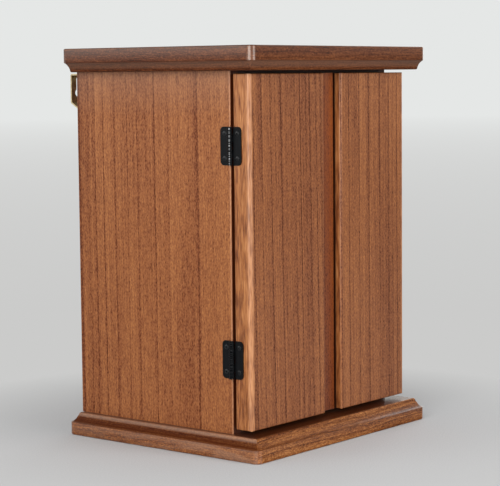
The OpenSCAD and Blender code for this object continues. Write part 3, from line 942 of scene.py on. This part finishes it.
@dataclass
class CrossScrew:
    """A countersunk wood screw with an oval head and a cross recess."""

    head_r: float = 2.42 * MM
    head_h: float = 1.15 * MM
    crown: float = 0.28 * MM
    shank_r: float = 1.15 * MM
    shank_l: float = 7.0 * MM
    slot_l: float = 2.7 * MM
    slot_w: float = 0.55 * MM
    slot_depth: float = 0.75 * MM
    sides: int = 40

    def model(self) -> bpy.types.Object:
        """Models one screw whose head's rim lies on z = 0 and whose shank points down.

        Returns:
            The pattern that every screw is copied from.
        """
        deselect_all()
        bpy.ops.mesh.primitive_cylinder_add(vertices=self.sides, radius=self.shank_r,
                                            depth=self.shank_l, end_fill_type="NGON",
                                            location=(0, 0, -self.head_h - self.shank_l / 2))
        screw = bpy.context.object
        screw.name = "screw_pattern"
        self.freeze(screw)
        self.pull(screw, -self.head_h, self.head_h, self.head_r / self.shank_r)
        self.pull(screw, 0.0, self.crown * 0.55, 0.86)
        self.pull(screw, self.crown * 0.55, self.crown * 0.30, 0.68)
        self.pull(screw, self.crown * 0.85, self.crown * 0.15, 0.45)
        self.point(screw)
        self.cut_cross(screw)
        bpy.ops.object.shade_smooth_by_angle(angle=math.radians(32))
        return screw

    def freeze(self, piece: bpy.types.Object) -> None:
        """Puts a new primitive's place into its mesh."""
        deselect_all()
        piece.select_set(True)
        bpy.context.view_layer.objects.active = piece
        bpy.ops.object.transform_apply(location=True, rotation=True, scale=True)

    def select_level(self, piece: bpy.types.Object, level: float) -> None:
        """Selects the faces that lie flat at a height and nothing else, and enters edit mode."""
        deselect_all()
        piece.select_set(True)
        bpy.context.view_layer.objects.active = piece
        bpy.ops.object.mode_set(mode="EDIT")
        bpy.ops.mesh.select_all(action="DESELECT")
        bpy.ops.mesh.select_mode(type="FACE")
        bpy.ops.object.mode_set(mode="OBJECT")
        for face in piece.data.polygons:
            face.select = abs(face.center.z - level) < 1e-6 and abs(face.normal.z) > 0.99
        bpy.ops.object.mode_set(mode="EDIT")

    def pull(self, piece: bpy.types.Object, level: float, rise: float, scale: float) -> None:
        """Extrudes the flat face at a height upwards and scales its new end.

        Args:
            piece: the screw.
            level: height of the face.
            rise: how far it is drawn up.
            scale: size of the new face against the old one.
        """
        self.select_level(piece, level)
        bpy.ops.mesh.extrude_region_move(TRANSFORM_OT_translate={"value": (0, 0, rise)})
        bpy.ops.transform.resize(value=(scale, scale, 1),
                                 center_override=(0, 0, level + rise))
        bpy.ops.object.mode_set(mode="OBJECT")

    def point(self, piece: bpy.types.Object) -> None:
        """Draws the shank's end out to a point."""
        tip = -self.head_h - self.shank_l
        self.pull(piece, tip, -2 * self.shank_r, 0.12)

    def cut_cross(self, piece: bpy.types.Object) -> None:
        """Cuts the cross recess with two tapered blades."""
        blades = []
        for length, width in ((self.slot_l, self.slot_w), (self.slot_w, self.slot_l)):
            deselect_all()
            bpy.ops.mesh.primitive_cube_add(size=1, location=(0, 0, self.crown * 0.85))
            blade = bpy.context.object
            blade.scale = (length, width, 2 * self.slot_depth)
            self.freeze(blade)
            low = self.crown * 0.85 - self.slot_depth
            self.select_level(blade, low)
            bpy.ops.transform.resize(value=(0.55, 0.55, 1), center_override=(0, 0, low))
            bpy.ops.object.mode_set(mode="OBJECT")
            blades.append(blade)
        for blade in blades:
            cut = piece.modifiers.new("recess", "BOOLEAN")
            cut.operation = "DIFFERENCE"
            cut.solver = "EXACT"
            cut.object = blade
            deselect_all()
            piece.select_set(True)
            bpy.context.view_layer.objects.active = piece
            bpy.ops.object.modifier_apply(modifier=cut.name)
            bpy.data.objects.remove(blade)

    def drive(self, pattern: bpy.types.Object, name: str, place: Vector, outwards: Vector,
              body: str, finish: bpy.types.Material, turn: float,
              scale: float = 1.0) -> bpy.types.Object:
        """Sets a copy of the screw in its hole.

        Args:
            pattern: the modelled screw.
            name: name of the new piece.
            place: middle of the head's rim.
            outwards: direction that the head faces.
            body: body that the screw rides on.
            finish: its material.
            turn: how far the cross is turned, in degrees.
            scale: size against the pattern.

        Returns:
            The new screw.
        """
        mesh = pattern.data.copy()
        turned = outwards.to_track_quat("Z", "Y").to_matrix().to_4x4()
        mesh.transform(Matrix.Translation(place) @ turned @ Matrix.Rotation(
            math.radians(turn), 4, "Z") @ Matrix.Diagonal((scale, scale, scale, 1)))
        mesh.materials.clear()
        mesh.materials.append(finish)
        screw = bpy.data.objects.new(name, mesh)
        bpy.context.scene.collection.objects.link(screw)
        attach(screw, body)
        LOG.info("%s is driven into %s", name, body)
        return screw


@dataclass
class Cabinet:
    """The case: two sides, back, inner floor, ceiling and the altar shelf."""

    side_lines: tuple[GrowthLine, ...] = (
        GrowthLine(3, 1.1, 2.0, -0.10, -0.02), GrowthLine(15.5, 0.5), GrowthLine(24.5, 0.8, 1.2),
        GrowthLine(36, 0.75, 1.2, 0.02, 0.05), GrowthLine(52, 0.55, 2.0, 0.0, 0.03),
        GrowthLine(69, 0.5, 1.0), GrowthLine(83, 0.85, 0.9, 0.02, 0.04),
        GrowthLine(106, 0.85, 1.3, -0.02, 0.05), GrowthLine(124, 0.45, 1.6),
        GrowthLine(162, 0.8, 1.6, -0.07, 0.07))

    def build(self) -> None:
        """Finishes the case's panels."""
        low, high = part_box("left_side_panel")
        dress(["left_side_panel", "right_side_panel"],
              SidePanelWood("side_panel_wood", CABINET_STAIN, "walnut", start=-high.y,
                            end=-low.y, lines=self.side_lines, lean=0.004, seed=1.3,
                            level=0.58, gloss=0.4, coat=0.1, face_x=-low.x))
        inner = dict(stain=INNER_STAIN, slot="walnut_inside", roughness=0.5, coat=0.12)
        dress(["back_panel"], StainedWood("back_panel_wood", grain=Axis.Z, across=Axis.X,
                                          line_pitch=17 * MM, seed=4.1, **inner))
        dress(["floor_panel", "ceiling_panel", "altar_shelf"],
              InnerBoardWood("inner_board_wood", grain=Axis.X, across=Axis.Y,
                             line_pitch=15 * MM, seed=6.4, front=low.y, **inner))
        dress(["left_shelf_cleat", "right_shelf_cleat"],
              StainedWood("cleat_wood", grain=Axis.Y, across=Axis.Z,
                          line_pitch=9 * MM, seed=2.2, **inner))


@dataclass
class Boards:
    """The moulded top board and base board."""

    top_band: float = 14.3 * MM
    base_band: float = 13.2 * MM
    bevel_in: float = 2.6 * MM

    def build(self) -> None:
        """Finishes both boards."""
        # The last number of each board is the strength of the painted shade in its cove.
        for name, stain, slot, seed, pitch, tone in (
                ("top_board", TOP_STAIN, "walnut_dark", 3.7, 5.5, 0.35),
                ("base_board", BASE_STAIN, "walnut_base", 8.2, 6.0, 0.9)):
            low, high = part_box(name)
            upside_down = name == "top_board"
            flat = low.z if upside_down else high.z
            crease = high.z - self.top_band if upside_down else low.z + self.base_band
            bevel = flat + (self.bevel_in if upside_down else -self.bevel_in)
            dress([name], LippedWood(f"{name}_wood", stain, slot, line_pitch=pitch * MM,
                                     seed=seed, roughness=0.38, gloss=0.6, coat=0.9,
                                     # The shifts, ledge, cove, band and shoulder settings below
                                     # paint light and shade onto the board.
                                     front_shift=0.18 if upside_down else 0.12,
                                     side_shift=-0.07 if upside_down else -0.05,
                                     band=(crease, high.z) if upside_down
                                     else (low.z, crease),
                                     line_depth=0.2, streaks=0.7, clouds=0.9,
                                     wander=8 * MM,
                                     low=(low.x, low.y), high=(high.x, high.y),
                                     hollow=(min(crease, bevel) + 0.4 * MM, max(crease, bevel)),
                                     hollow_tone=tone, crease=crease, flat=flat,
                                     ledge=PAINTED_DEEP_SHADE if upside_down else PAINTED_SHADE,
                                     front_hollow=1.0 if upside_down else 0.2,
                                     hollow_stain=PAINTED_SHEEN if upside_down
                                     else PAINTED_SHADE,
                                     top_z=high.z,
                                     weathered=0.0 if upside_down else 0.65,
                                     shoulder_sheen=1.0 if upside_down else 0.45,
                                     rubbed=0.0 if upside_down else 0.5))


@dataclass
class Doors:
    """The two overlay doors and the steel plates on their backs."""

    left_leaf_w: float = 120 * MM
    groove_d: float = 8.2 * MM
    left_lines: tuple[GrowthLine, ...] = (
        GrowthLine(8, 0.5, 1.6), GrowthLine(21, 0.75, 1.0), GrowthLine(35.5, 0.8, 0.9),
        GrowthLine(51.5, 0.9, 1.0, -0.02, 0.03), GrowthLine(74, 0.35, 1.5),
        GrowthLine(82.5, 0.85, 0.9), GrowthLine(92, 0.5, 0.8), GrowthLine(98.5, 0.95, 0.9),
        GrowthLine(108.5, 0.8, 1.0, 0.03, 0.05), GrowthLine(117, 0.4, 1.2))
    right_lines: tuple[GrowthLine, ...] = (
        GrowthLine(2, 0.7, 1.0), GrowthLine(15, 1.0, 1.2, 0.02, 0.0), GrowthLine(33, 0.85, 1.0),
        GrowthLine(50.5, 0.85, 1.1), GrowthLine(70, 0.85, 1.0, 0.0, 0.04),
        GrowthLine(87, 0.75, 1.0), GrowthLine(94, 0.6, 0.9), GrowthLine(102, 0.75, 1.0),
        GrowthLine(110, 0.5, 1.4))

    def build(self, screw: CrossScrew, pattern: bpy.types.Object) -> None:
        """Finishes the doors and their strike plates.

        Args:
            screw: the kind of screw that holds the plates.
            pattern: that screw's model.
        """
        steel = NickelSteel()
        for side, lines, lean, level, seed in (
                (Side.LEFT, self.left_lines, 0.018, 0.53, 5.9),
                (Side.RIGHT, self.right_lines, 0.004, 0.59, 7.3)):
            door = f"{side.word}_door"
            low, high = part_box(door)
            outer = low.x if side is Side.LEFT else high.x
            groove_x = low.x + self.left_leaf_w if side is Side.LEFT else low.x
            dress([door], DoorWood(f"{door}_wood", DOOR_STAIN, "walnut", start=low.x,
                                   end=high.x, lines=lines, lean=lean, level=level, seed=seed,
                                   roughness=0.44, gloss=0.40, coat=0.35,
                                   outer_x=outer, inwards=-float(side.value),
                                   front_y=low.y, groove_x=groove_x,
                                   groove_y=low.y + self.groove_d - 0.1 * MM,
                                   tongue=side is Side.LEFT))
        dress(["left_strike_plate", "right_strike_plate"], steel)
        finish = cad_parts["left_strike_plate"].data.materials[0]
        for side in Side:
            low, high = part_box(f"{side.word}_strike_plate")
            place = Vector(((low.x + high.x) / 2, high.y - 0.25 * MM, (low.z + high.z) / 2))
            screw.drive(pattern, f"{side.word}_strike_screw", place, Vector((0, 1, 0)),
                        f"{side.word}_door", finish, 20.0, scale=0.58)


@dataclass
class Fittings:
    """Butterfly hinges, catches and wall hangers, with their screws."""

    screw_in: float = 5.0 * MM
    screw_end: float = 6.6 * MM
    leaf_t: float = 1.2 * MM
    screw_turns: tuple[float, ...] = (12.0, 48.0, 75.0, 33.0, 60.0, 5.0, 82.0, 25.0)

    def build(self, screw: CrossScrew, pattern: bpy.types.Object) -> None:
        """Finishes the fittings and drives their screws.

        Args:
            screw: the kind of screw.
            pattern: that screw's model.
        """
        self.hinges(screw, pattern)
        self.catches(screw, pattern)
        self.hangers(screw, pattern)

    def hinges(self, screw: CrossScrew, pattern: bpy.types.Object) -> None:
        """Finishes the four hinges and drives four screws in each."""
        low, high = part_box("left_upper_hinge_pin")
        axis_x, axis_y = -(low.x + high.x) / 2, (low.y + high.y) / 2
        iron = BlackIron(axis_x=axis_x, axis_y=axis_y,
                         knuckle_r=-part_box("left_upper_fixed_leaf")[0].x - axis_x)
        shiny = BlackIron("black_screw_lacquer", knuckle_r=1.0, gloss=0.35,
                          dull=(0.16, 0.26)).material()
        names = [f"{side.word}_{height}_{part}" for side in Side for height in ("upper", "lower")
                 for part in ("fixed_leaf", "door_leaf", "hinge_pin")]
        dress(names, iron)
        count = 0
        for side in Side:
            for height in ("upper", "lower"):
                for part in ("fixed_leaf", "door_leaf"):
                    low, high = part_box(f"{side.word}_{height}_{part}")
                    face = (high.x - self.leaf_t) if side is Side.LEFT else (low.x + self.leaf_t)
                    fixed = part == "fixed_leaf"
                    deep = high.y - self.screw_in if fixed else low.y + self.screw_in
                    body = "cabinet" if fixed else f"{side.word}_door"
                    for end, level in (("low", low.z + self.screw_end),
                                       ("high", high.z - self.screw_end)):
                        screw.drive(pattern, f"{side.word}_{height}_{part}_{end}_screw",
                                    Vector((face, deep, level)), Vector((side.value, 0, 0)),
                                    body, shiny,
                                    self.screw_turns[count % len(self.screw_turns)])
                        count += 1

    def catches(self, screw: CrossScrew, pattern: bpy.types.Object) -> None:
        """Finishes the two magnetic catches and screws their ears to the ceiling panel."""
        plastic = BrownPlastic()
        dress(["left_catch", "right_catch"], plastic)
        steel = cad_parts["left_strike_plate"].data.materials[0]
        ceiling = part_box("ceiling_panel")[0].z
        for side in Side:
            low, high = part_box(f"{side.word}_catch")
            for end, across in (("outer", low.x + 4.5 * MM), ("inner", high.x - 4.5 * MM)):
                place = Vector((across, (low.y + high.y) / 2, ceiling - 2 * MM - 0.9 * MM))
                screw.drive(pattern, f"{side.word}_catch_{end}_screw", place,
                            Vector((0, 0, -1)), "cabinet", steel, 40.0,
                            scale=0.95)

    def hangers(self, screw: CrossScrew, pattern: bpy.types.Object) -> None:
        """Finishes the two keyhole hangers and drives the screws in their feet."""
        brass = AgedBrass()
        dress(["left_wall_hanger", "right_wall_hanger"], brass)
        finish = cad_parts["left_wall_hanger"].data.materials[0]
        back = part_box("left_side_panel")[1].y
        for side in Side:
            low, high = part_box(f"{side.word}_wall_hanger")
            place = Vector(((low.x + high.x) / 2, back + 1.5 * MM + 0.9 * MM, low.z + 4.5 * MM))
            screw.drive(pattern, f"{side.word}_hanger_screw", place, Vector((0, 1, 0)),
                        "cabinet", finish, 30.0)


@dataclass
class Studio:
    """Camera, floor, lamps and surroundings."""

    eye_from_edge: tuple[float, float, float] = (-1.3201, -1.0871, 0.3717)
    yaw: float = 51.135
    pitch: float = 5.396
    roll: float = -0.521
    focal_px: float = 1778.5
    picture_w: float = 500.0
    sensor_mm: float = 36.0
    floor_r: float = 45.0
    floor_far: Colour = (203, 203, 202)
    wall: Colour = (229, 231, 230)
    ceiling: Colour = (84, 82, 80)

    def build(self) -> None:
        """Sets up everything that isn't part of the object."""
        self.camera()
        self.floor()
        self.world()
        self.lamps()

    def camera(self) -> None:
        """Stands the camera where the photograph was taken from."""
        corner = Vector((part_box("left_side_panel")[0].x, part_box("left_side_panel")[0].y, 0.0))
        eye = corner + Vector(self.eye_from_edge)
        yaw, pitch, roll = (math.radians(a) for a in (self.yaw, self.pitch, self.roll))
        flat = Vector((math.sin(yaw), math.cos(yaw), 0))
        right = Vector((math.cos(yaw), -math.sin(yaw), 0))
        forward = flat * math.cos(pitch) + Vector((0, 0, -math.sin(pitch)))
        up = right.cross(forward)
        across = right * math.cos(roll) + up * math.sin(roll)
        above = up * math.cos(roll) - right * math.sin(roll)
        turned = Matrix((across, above, -forward)).transposed().to_4x4()
        data = bpy.data.cameras.new("camera")
        data.sensor_fit = "HORIZONTAL"
        data.sensor_width = self.sensor_mm
        data.lens = self.focal_px / self.picture_w * self.sensor_mm
        data.clip_start, data.clip_end = 0.05, 60.0
        camera = bpy.data.objects.new("camera", data)
        camera.matrix_world = Matrix.Translation(eye) @ turned
        bpy.context.scene.collection.objects.link(camera)
        bpy.context.scene.camera = camera

    def floor(self) -> None:
        """Lays a plain pale floor under the base board."""
        deselect_all()
        bpy.ops.mesh.primitive_circle_add(vertices=96, radius=self.floor_r, fill_type="NGON",
                                          location=(0, 0, -0.0002))
        floor = bpy.context.object
        floor.name = "floor"
        shader = Shader("pale_floor")
        x, y, z = shader.position()
        away = shader.maths("SQRT", shader.maths("ADD", shader.maths("MULTIPLY", x, x),
                                                 shader.maths("MULTIPLY", y, y)))
        grit = shader.noise(shader.vector(x, y, z), scale=700.0, detail=2.0)
        shader.join(shader.ramp(grit, [(0.3, linear((196, 198, 200))),
                                       (0.7, linear((212, 214, 216)))]),
                    shader.surface.inputs["Base Color"])
        shader.put(Roughness=0.75, Specular_IOR_Level=0.2)
        shown = shader.tree.nodes.new("ShaderNodeLightPath")
        far = shader.tree.nodes.new("ShaderNodeEmission")
        shader.join(shader.mix(shader.span(away, 1.0, 14.0), linear(self.floor_far),
                               linear(self.wall)), far.inputs["Color"])
        mixed = shader.tree.nodes.new("ShaderNodeMixShader")
        shader.join(shader.maths("MULTIPLY", shader.span(away, 0.15, 0.42),
                                 shown.outputs["Is Camera Ray"]), mixed.inputs[0])
        shader.join(shader.surface.outputs[0], mixed.inputs[1])
        shader.join(far.outputs[0], mixed.inputs[2])
        shader.join(mixed.outputs[0], shader.output.inputs["Surface"])
        floor.data.materials.append(shader.material)

    def world(self) -> None:
        """Soft light all round, and a plain pale backdrop under a dim ceiling."""
        world = bpy.data.worlds.new("studio")
        bpy.context.scene.world = world
        world.use_nodes = True
        tree = world.node_tree
        tree.nodes.clear()
        output = tree.nodes.new("ShaderNodeOutputWorld")
        light = tree.nodes.new("ShaderNodeBackground")
        light.inputs["Color"].default_value = (1.0, 0.985, 0.97, 1.0)
        light.inputs["Strength"].default_value = 0.20
        backdrop = tree.nodes.new("ShaderNodeBackground")
        where = tree.nodes.new("ShaderNodeTexCoord")
        parts = tree.nodes.new("ShaderNodeSeparateXYZ")
        tree.links.new(where.outputs["Generated"], parts.inputs[0])
        ceiling = tree.nodes.new("ShaderNodeMapRange")
        tree.links.new(parts.outputs["Z"], ceiling.inputs[0])
        ceiling.inputs[1].default_value, ceiling.inputs[2].default_value = 0.3, 0.7
        shade = tree.nodes.new("ShaderNodeMix")
        shade.data_type = "RGBA"
        tree.links.new(ceiling.outputs[0], shade.inputs["Factor"])
        shade.inputs[6].default_value = linear(self.wall)
        shade.inputs[7].default_value = linear(self.ceiling)
        tree.links.new(shade.outputs[2], backdrop.inputs["Color"])
        backdrop.inputs["Strength"].default_value = 1.0
        path = tree.nodes.new("ShaderNodeLightPath")
        first = tree.nodes.new("ShaderNodeMath")
        first.operation = "MAXIMUM"
        second = tree.nodes.new("ShaderNodeMath")
        second.operation = "MAXIMUM"
        mix = tree.nodes.new("ShaderNodeMixShader")
        tree.links.new(path.outputs["Is Camera Ray"], first.inputs[0])
        tree.links.new(path.outputs["Is Glossy Ray"], first.inputs[1])
        tree.links.new(first.outputs[0], second.inputs[0])
        tree.links.new(path.outputs["Is Transmission Ray"], second.inputs[1])
        tree.links.new(second.outputs[0], mix.inputs[0])
        tree.links.new(light.outputs[0], mix.inputs[1])
        tree.links.new(backdrop.outputs[0], mix.inputs[2])
        tree.links.new(mix.outputs[0], output.inputs[0])

    def lamps(self) -> None:
        """Hangs the softboxes, each aimed at the middle of the altar."""
        for name, place, width, height, power in (
                ("left_softbox", (-1.84, -0.78, 0.95), 1.4, 1.9, 50.0),
                ("front_softbox", (0.30, -2.08, 0.95), 1.1, 1.9, 32.0),
                ("left_rear_softbox", (-2.0, 1.6, 1.3), 1.5, 2.3, 13.0),
                ("right_softbox", (2.4, 0.6, 1.3), 1.2, 2.2, 14.0)):
            data = bpy.data.lights.new(name, "AREA")
            data.shape = "RECTANGLE"
            data.size, data.size_y = width, height
            data.energy = power
            lamp = bpy.data.objects.new(name, data)
            start = Vector(place)
            aim = Vector((0, 0, start.z)) - start
            lamp.matrix_world = (Matrix.Translation(start)
                                 @ aim.to_track_quat("-Z", "Y").to_matrix().to_4x4())
            bpy.context.scene.collection.objects.link(lamp)


def main() -> None:
    """Builds the altar's looks in order, then the studio."""
    logging.basicConfig(level=logging.INFO, format="%(message)s")
    bpy.context.scene.view_settings.view_transform = "Standard"
    deselect_all()
    Studio().build()
    screw = CrossScrew()
    pattern = screw.model()
    Boards().build()
    Cabinet().build()
    Doors().build(screw, pattern)
    Fittings().build(screw, pattern)
    bpy.data.objects.remove(pattern)


if __name__ == "__main__":
    main()
